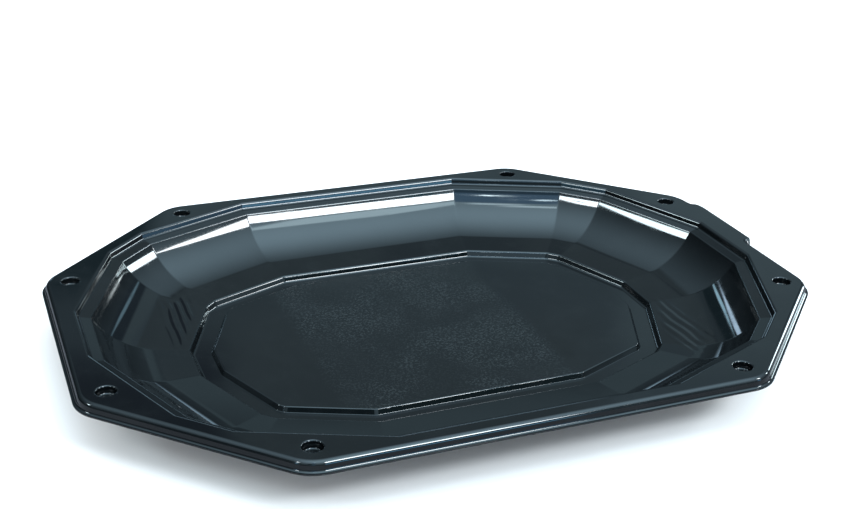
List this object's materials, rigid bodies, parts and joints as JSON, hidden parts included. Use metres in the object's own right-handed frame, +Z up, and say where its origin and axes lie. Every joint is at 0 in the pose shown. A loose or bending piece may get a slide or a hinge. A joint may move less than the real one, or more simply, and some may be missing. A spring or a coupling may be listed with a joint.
{
  "type": "plastic serving tray",
  "caption": "Shallow octagonal catering tray pressed from black plastic sheet, with a faceted curved well, snap dimples in the flange and a small pull tab.",
  "frame": {"origin": "on the table, at the middle of the tray's length and width with the tab counted in", "axes": "+X along the tray towards the end with the pull tab, +Y across it, +Z up out of the well"},
  "size_m": [0.4626, 0.353, 0.036],
  "materials": {
    "black_sheet": "glossy pressed sheet with a faint fine grain on the middle panel"
  },
  "bodies": {
    "root": {"tray": "black_sheet"}
  },
  "joints": []
}
